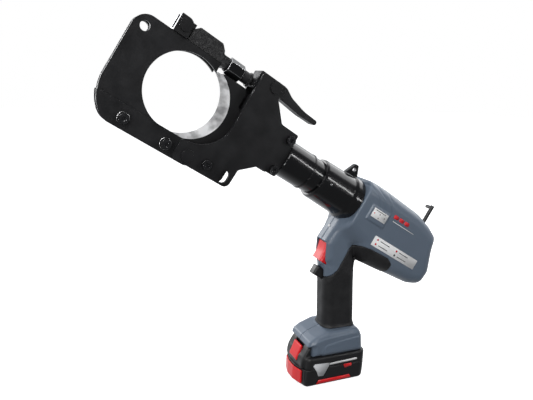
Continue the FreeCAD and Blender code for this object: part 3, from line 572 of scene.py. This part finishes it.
# half widths and rim rounding of the four shapes
BODY_HALF, BODY_RIM = 37.5, 21
ZONE_HALF, ZONE_RIM = 22.5, 13
HANDLE_HALF, HANDLE_RIM = 20.3, 15
FOOT_HALF, FOOT_RIM = 35.2, 8
# curved grooves behind the collar, about one point of the head frame
GROOVE_U, GROOVE_V = 308, 14
GROOVE_RADII = (48, 57, 71)
GROOVE_DEPTH, GROOVE_WIDTH = 0.7, 1.6
SEAT_HEIGHT = 2.4
PANEL_HEIGHT = 1.1
WALL = 4.2
RUBBER_INSET = 1.3


def opening(across, half, y, along):
    """A square-cornered opening: two slabs and a half width."""
    return np.maximum(np.maximum(across, np.abs(y) - half), along)


def release_opening(u, y, v):
    return opening(slab(v, -131.6, -115.4), 8.5, y, slab(u, -359, -300))


def head_coordinates(x, z):
    dx, dz = x - HEAD_X, z - HEAD_Z
    return dx * COS + dz * SIN, -dx * SIN + dz * COS


def outer_skin(x, y, z):
    """Distance to the whole outside of housing, handle and foot."""
    u, v = head_coordinates(x, z)
    body_flat = inside_outline(BODY_2D, x, z)
    body = plate(body_flat, y, BODY_HALF, BODY_RIM)
    body = meet(body, u + 316.6, 5)
    # the grooves fade towards the middle of the side
    fade = step_between(-4, 16, v)
    reach = np.hypot(u + GROOVE_U, v + GROOVE_V)
    for radius in GROOVE_RADII:
        body = body + GROOVE_DEPTH * fade * np.exp(-((reach - radius) / GROOVE_WIDTH) ** 2)
    # raised seat under the small label
    seat = np.maximum(slab(u, -372, -333.8), slab(v, -13.5, 10.8))
    body = body - SEAT_HEIGHT * step_between(1.6, -1.6, seat)
    zone = plate(inside_outline(ZONE_2D, x, z), y, ZONE_HALF, ZONE_RIM)
    upper = join(body, zone, 13)
    handle = plate(inside_outline(HANDLE_2D, x, z), y, HANDLE_HALF, HANDLE_RIM)
    whole = join(upper, handle, 7)
    foot = plate(inside_outline(FOOT_2D, x, z), y, FOOT_HALF, FOOT_RIM)
    for panel in (PANEL_ONE_2D, PANEL_TWO_2D):
        rise = step_between(PANEL_HEIGHT, -PANEL_HEIGHT, inside_outline(panel, x, z))
        foot = foot - PANEL_HEIGHT * rise
    return join(whole, foot, 7)


def make_housing():
    step = 1.25

    def shell(x, y, z, side):
        skin = outer_skin(x, y, z)
        u, v = head_coordinates(x, z)
        rubber = inside_outline(RUBBER_2D, x, z)
        # the skin steps in under the rubber
        outer = skin + RUBBER_INSET * step_between(0.5, -0.5, rubber)
        solid = np.maximum(outer, -(skin + WALL))
        trigger = opening(slab(v, -107.4, -76.6), 15.4, y, slab(u, -347, -280))
        rail = opening(slab(z, 40, 60.6), 21, y, slab(x, -48, 80))
        collar = np.maximum(np.hypot(y, v) - 27, slab(u, -330, -300))
        for hole in (trigger, release_opening(u, y, v), rail, collar):
            solid = np.maximum(solid, -hole)
        return np.maximum(solid, 0.12 - side * y)

    for side, name, y_low, y_high in ((1, "left", -2, 41), (-1, "right", -41, 2)):
        piece = mesh_from_field(
            f"housing_shell_{name}", lambda x, y, z, s=side: shell(x, y, z, s),
            (-206, y_low, 47), (62, y_high, 346), step,
        )
        add(piece, "body", [GREY], [f"housing_{name}"])

    def grip(x, y, z):
        skin = outer_skin(x, y, z)
        u, v = head_coordinates(x, z)
        edge = inside_outline(RUBBER_2D, x, z)
        layer = meet(meet(skin - 0.7, edge + 0.35, 1.6), -(skin + 1.1), 0.3)
        # a long shallow dimple across the side, where the thumb rests
        along, across = (x + 5) * 0.66 + (z - 181) * -0.75, (x + 5) * 0.75 + (z - 181) * 0.66
        mark = np.maximum(np.abs(across) - 0.6, slab(along, -12, 12))
        layer = layer + 0.5 * step_between(0.8, -0.8, mark)
        return np.maximum(layer, -release_opening(u, y, v))

    piece = mesh_from_field("grip_cover", grip, (-104, -41, 84), (42, 41, 234), step * 0.85)
    add(piece, "body", [RUBBER], ["rubber_grip"])


# ---------------------------------------------------------------- trigger and release button
def make_buttons():
    # trigger: hollowed finger face
    levels = np.linspace(0, 1, 13)
    top, bottom = -77.3, -106.7
    front, hollow = -312.7, 5.0
    face = []
    for t in levels:
        depth = hollow * math.sin(min(1, t * 1.3) * math.pi / 2)
        face.append((front - depth, top + (bottom - top) * t))
    columns = [(-15, 3), (-12.5, 0.6), (-8, 0), (-1.6, 0), (4.2, 0), (8, 0), (12.5, 0.6), (15, 3)]
    make_button("trigger_cap", face, columns, -338.5, "trigger", RED, ["trigger"])
    # release button: flat front with chamfered edges
    flat = [(-323.2, -116.1 - 14.8 * t) for t in levels]
    columns = [(-8, 2.4), (-5.4, 0), (0, 0), (5.4, 0), (8, 2.4)]
    make_button("release_cap", flat, columns, -352, "release_button", BLACK, ["release_button"])


def make_button(name, face, columns, back, body, material, stands_for):
    """A push button: a front face given by (u, v) rows and (y, inset) columns, and straight sides."""
    mesh = bmesh.new()
    grid = []
    for u, v in face:
        row = [mesh.verts.new((back, columns[0][0], v))]
        row += [mesh.verts.new((u - inset, y, v)) for y, inset in columns]
        row.append(mesh.verts.new((back, columns[-1][0], v)))
        grid.append(row)
    for upper, lower in zip(grid, grid[1:]):
        for index in range(len(upper) - 1):
            mesh.faces.new((upper[index], upper[index + 1], lower[index + 1], lower[index]))
    mesh.faces.new(grid[0][::-1])
    mesh.faces.new(grid[-1])
    for upper, lower in zip(grid, grid[1:]):
        mesh.faces.new((upper[-1], upper[0], lower[0], lower[-1]))
    piece = from_bmesh(name, mesh, TO_HEAD, False)
    bevel(piece, 0.5, 3, 30)
    add(piece, body, [material], stands_for)


def dot(name, place, outward, radius, thick, body, material):
    """A small round disc lying on a surface."""
    mesh = bmesh.new()
    turn = Vector(outward).to_track_quat("Z", "Y").to_matrix().to_4x4()
    matrix = Matrix.Translation(place) @ turn
    bmesh.ops.create_cone(
        mesh, cap_ends=True, segments=32, radius1=radius, radius2=radius * 0.8, depth=thick, matrix=matrix,
    )
    return add(from_bmesh(name, mesh), body, [material])


def make_dots():
    """Set-screw ends in the collar, and a white disc of painted highlight on the housing seam between collar
    and trigger.
    """
    for index, (u, radius, angle) in enumerate(((-254, 32.2, 2), (-306, 36, 6))):
        turn = math.radians(angle)
        place = head_point(u, radius * math.cos(turn), radius * math.sin(turn))
        outward = (-SIN * math.sin(turn), math.cos(turn), COS * math.sin(turn))
        dot(f"set_screw_{index}", place, outward, 1.7, 1.0, "body", STEEL)
    # painted highlight: a flat white disc on the front seam of the housing, where a highlight spot falls
    dot("painted_highlight_dot", Vector((6.6, 0, 257.5)), (0.83, 0, 0.56), 2.6, 2.4, "body", WHITE_INK)


# ---------------------------------------------------------------- labels
def sticker(name, low, high, depth, material, thick=0.35, radius=0.8):
    """A thin flat plate on the left side of the housing, between two corners (u, v)."""
    (a, b), (c, d) = low, high
    outline = [(a, b, radius), (c, b, radius), (c, d, radius), (a, d, radius)]
    piece = prism(name, outline, depth, depth + thick, TO_HEAD, 4)
    return add(piece, "body", [material])


SEAT_FACE, SIDE_FACE = 39.75, 37.45


def make_labels():
    """Two plates with plain bars and dots, three red bars and a white line."""
    y = SEAT_FACE
    sticker("small_plate", (-369, -6.5), (-338, 8.5), y, WHITE_INK)
    for index, (u, v) in enumerate(((-342, 0.5), (-353, 2.4), (-364, 0.5), (-353, -4))):
        ink = RED_INK if index == 0 else BLACK_INK
        sticker(f"small_plate_dot_{index}", (u - 1, v - 1), (u + 1, v + 1), y + 0.3, ink, 0.15, 0.9)
    sticker("small_plate_bar", (-364, 5.6), (-342, 6.6), y + 0.3, BLACK_INK, 0.15, 0.3)
    y = SIDE_FACE
    sticker("long_plate", (-468.5, -44.5), (-368, -27.8), y, WHITE_INK)
    for row, v in enumerate((-32.4, -39.9)):
        for column, u in enumerate((-376, -420)):
            ink = RED_INK if row + column < 2 else BLACK_INK
            tag = f"{row}_{column}"
            sticker(f"long_plate_mark_{tag}", (u - 1.8, v - 1.8), (u + 1.8, v + 1.8), y + 0.3, ink, 0.15, 1.7)
            sticker(
                f"long_plate_line_{tag}", (u - 27, v - 0.6), (u - 6, v + 0.6), y + 0.3, BLACK_INK, 0.15, 0.5,
            )
    for index, u in enumerate((-380, -392.5, -405)):
        sticker(f"red_dash_{index}", (u - 10.5, 9.8), (u, 16.2), y, RED_INK, 0.25, 2)
    sticker("white_dash", (-433, 4.6), (-383, 5.6), y, WHITE_INK, 0.2, 0.4)


# ---------------------------------------------------------------- battery pack
CASE_NOSE, LID_NOSE, ROOM_NOSE = 60, 57.5, 56
BATTERY_BACK, BATTERY_HALF = -58.5, 37.5
BATTERY_SEAM = 30
NOSE_HALF, NOSE_SLOPE = 9, 8.5


def battery_plan(nose):
    """The battery from above: a blunt nose in front, rounded corners behind."""
    shoulder = nose - NOSE_SLOPE
    return rounded([
        (BATTERY_BACK, -BATTERY_HALF, 12), (shoulder, -BATTERY_HALF, 9), (nose, -NOSE_HALF, 12),
        (nose, NOSE_HALF, 12), (shoulder, BATTERY_HALF, 9), (BATTERY_BACK, BATTERY_HALF, 12),
    ])


def make_battery():
    step = 0.95
    case_plan, lid_plan, room = battery_plan(CASE_NOSE), battery_plan(LID_NOSE), battery_plan(ROOM_NOSE)

    def block(x, y, z):
        case_flat, lid_flat = inside_outline(case_plan, x, y), inside_outline(lid_plan, x, y)
        flat = np.where(z < BATTERY_SEAM, case_flat, lid_flat)
        case = meet(flat + 0.9 * step_between(22, 0, z), slab(z, 0.0, 49.5), 5)
        # rounded lobe in front of the foot, sloping back towards its top
        lobe = meet(meet(slab(x, 40, 57), slab(z, BATTERY_SEAM, 66), 4), np.abs(y) - 30, 6)
        lobe = meet(lobe, (x - 57) * 0.87 + (z - 44) * 0.49, 4)
        rail = meet(meet(slab(x, -45, 36), slab(z, 40, 59.5), 1), np.abs(y) - 19.5, 1.5)
        whole = join(case, lobe, 3)
        # finger grooves down the front corners
        groove = np.hypot(x - 54, np.abs(y) - 36) - 3.6
        whole = np.maximum(whole, -np.maximum(groove, slab(z, 8, 80)))
        seam = np.maximum(np.abs(z - BATTERY_SEAM) - 0.5, -(flat + 0.8))
        whole = np.maximum(whole, -seam)
        recess = opening(slab(x, 43.2, 80), 13.5, y, slab(z, 37, 70))
        red_seat = opening(-(case_flat + 0.4), 28.6, y, slab(z, 3.4, 27.6))
        red_seat = np.maximum(red_seat, 50 - x)
        whole = np.maximum(np.maximum(whole, -recess), -red_seat)
        return np.minimum(whole, rail)

    def half_shell(x, y, z, bottom, top):
        inside = np.maximum(inside_outline(room, x, y) + 3, slab(z, 3, 46))
        return np.maximum(np.maximum(block(x, y, z), slab(z, bottom, top)), -inside)

    for name, bottom, top, node in (
            ("lower", -5, BATTERY_SEAM, "battery_case"), ("upper", BATTERY_SEAM, 90, "battery_lid")):
        piece = mesh_from_field(
            f"battery_shell_{name}", lambda x, y, z, a=bottom, b=top: half_shell(x, y, z, a, b),
            (-60, -39, -2), (62, 39, 68), step,
        )
        add(piece, "battery", [BLACK], [node])

    def bumper(x, y, z):
        flat = inside_outline(case_plan, x, y)
        return meet(meet(meet(slab(flat, -0.3, 2.4), np.abs(y) - 28.3, 2), slab(z, 3.8, 27.2), 2), 50 - x, 1)

    piece = mesh_from_field("bumper_cap", bumper, (50, -31, 2), (64, 31, 30), 0.6)
    add(piece, "battery", [RED], ["battery_bumper"])

    slope = rounded([(47.5, 37.4, 1), (60, 37.4, 2.5), (58.8, 42, 4), (51, 61.4, 2), (47.5, 61.4, 1)])

    def button(x, y, z):
        return meet(inside_outline(slope, x, z), np.abs(y) - 13, 2.5)

    piece = mesh_from_field("button_cap", button, (45, -15, 35), (63, 15, 64), 0.6)
    add(piece, "battery_button", [RED], ["battery_button"])
    make_battery_marks()


def make_battery_marks():
    """Plain coloured shapes on both sides of the battery."""
    shapes = (
        ("red_strip", "red_plastic", RED,
         [(33, 3.4, 0.5), (29, 10.5, 0.5), (-28.2, 10.3, 0.5), (-31.7, 4.6, 0.5)]),
        ("silver_badge", "dark_plastic", SILVER_INK,
         [(40, 36.9, 1), (36.6, 40.2, 1), (8.6, 37.7, 1), (20.6, 16.7, 1), (29.5, 17.7, 1), (32.9, 25.9, 2)]),
        ("white_bar", "dark_plastic", WHITE_INK,
         [(11.4, 37.4, 0.5), (-40.4, 38.9, 0.8), (-41.2, 35.4, 0.5), (9.4, 34.2, 0.5)]),
        ("red_mark", "red_plastic", RED,
         [(-16.3, 30.6, 0.6), (-30.8, 30.9, 0.6), (-31.8, 25.8, 0.6), (-18.3, 24.2, 0.6)]),
    )
    for tag, depth in (("left", 37.35), ("right", -37.75)):
        for name, slot, material, outline in shapes:
            add(prism(f"{name}_{tag}", outline, depth, depth + 0.4, None, 3), "battery", [material])


# ---------------------------------------------------------------- floor, light and camera
def make_floor():
    mesh = bmesh.new()
    bmesh.ops.create_grid(mesh, x_segments=1, y_segments=1, size=6)
    data = bpy.data.meshes.new("floor")
    mesh.to_mesh(data)
    mesh.free()
    floor = bpy.data.objects.new("floor", data)
    floor.location.z = -0.0005
    bpy.context.scene.collection.objects.link(floor)
    white = (1, 1, 1, 1)
    pale = Shader("pale_floor", (0.9, 0.9, 0.9), 0.8, Emission_Color=white, Emission_Strength=0.75)
    paint(floor, pale.material)
    floor.visible_diffuse = False
    floor.visible_glossy = False


def area_light(name, place, target, size, power, size_y=None):
    light = bpy.data.lights.new(name, "AREA")
    light.energy = power
    light.size = size
    if size_y is not None:
        light.shape = "RECTANGLE"
        light.size_y = size_y
    lamp = bpy.data.objects.new(name, light)
    lamp.location = place
    lamp.visible_camera = False
    lamp.rotation_euler = (Vector(target) - Vector(place)).to_track_quat("-Z", "Y").to_euler()
    bpy.context.scene.collection.objects.link(lamp)


def make_studio():
    world = bpy.data.worlds.new("studio")
    world.use_nodes = True
    nodes, links = world.node_tree.nodes, world.node_tree.links
    background = nodes["Background"]
    background.inputs["Color"].default_value = (0.9, 0.92, 0.95, 1)
    # bright towards the backdrop behind the tool, dim on the viewer's side
    where = nodes.new("ShaderNodeSeparateXYZ")
    links.new(nodes.new("ShaderNodeTexCoord").outputs["Generated"], where.inputs[0])
    fall = nodes.new("ShaderNodeMapRange")
    for socket, number in zip(RAMP_SOCKETS, (0.35, -0.75, 0.16, 1.0)):
        fall.inputs[socket].default_value = number
    links.new(where.outputs["Y"], fall.inputs["Value"])
    links.new(fall.outputs["Result"], background.inputs["Strength"])
    white = nodes.new("ShaderNodeBackground")
    white.inputs["Color"].default_value = (1, 1, 1, 1)
    white.inputs["Strength"].default_value = 1.0
    mix = nodes.new("ShaderNodeMixShader")
    path = nodes.new("ShaderNodeLightPath")
    links.new(path.outputs["Is Camera Ray"], mix.inputs["Fac"])
    links.new(background.outputs[0], mix.inputs[1])
    links.new(white.outputs[0], mix.inputs[2])
    links.new(mix.outputs[0], nodes["World Output"].inputs["Surface"])
    bpy.context.scene.world = world
    aim = Vector((0.05, 0, 0.36))
    for name, way, distance, size, power, height in (
            ("key", (0.45, 0.75, 0.62), 1.9, 0.9, 13, None),
            ("barrel_top", (-0.83, -0.25, 0.47), 1.6, 1.4, 9, None),
            ("thin_strip", (-0.645, 0.733, 0.214), 1.6, 0.06, 4, 1.0),
            ("front_edge", (0.68, 0.68, 0.1), 1.4, 0.14, 5, 1.0),
            ("rear_edge", (0.5, -0.84, 0.22), 1.5, 0.8, 8, None),
            ("top", (0.1, 0.05, 1.0), 1.7, 1.0, 7, None)):
        area_light(name, aim + Vector(way).normalized() * distance, aim, size, power, height)


def make_camera():
    camera = bpy.data.cameras.new("camera")
    camera.lens = 35.68
    camera.sensor_width = 36
    lens = bpy.data.objects.new("camera", camera)
    right = Vector((-0.92318, 0.38232, 0.03957))
    down = Vector((0.05293, 0.22840, -0.97213))
    forward = Vector((-0.38070, -0.89536, -0.23109))
    turn = Matrix((right, -down, -forward)).transposed().to_4x4()
    lens.matrix_world = Matrix.Translation((0.4149, 0.7015, 0.4862)) @ turn
    bpy.context.scene.collection.objects.link(lens)
    bpy.context.scene.camera = lens
    bpy.context.scene.view_settings.view_transform = "Standard"


make_camera()
make_studio()
make_floor()
dress_cad_nodes()
make_housing()
make_buttons()
make_dots()
make_labels()
make_battery()
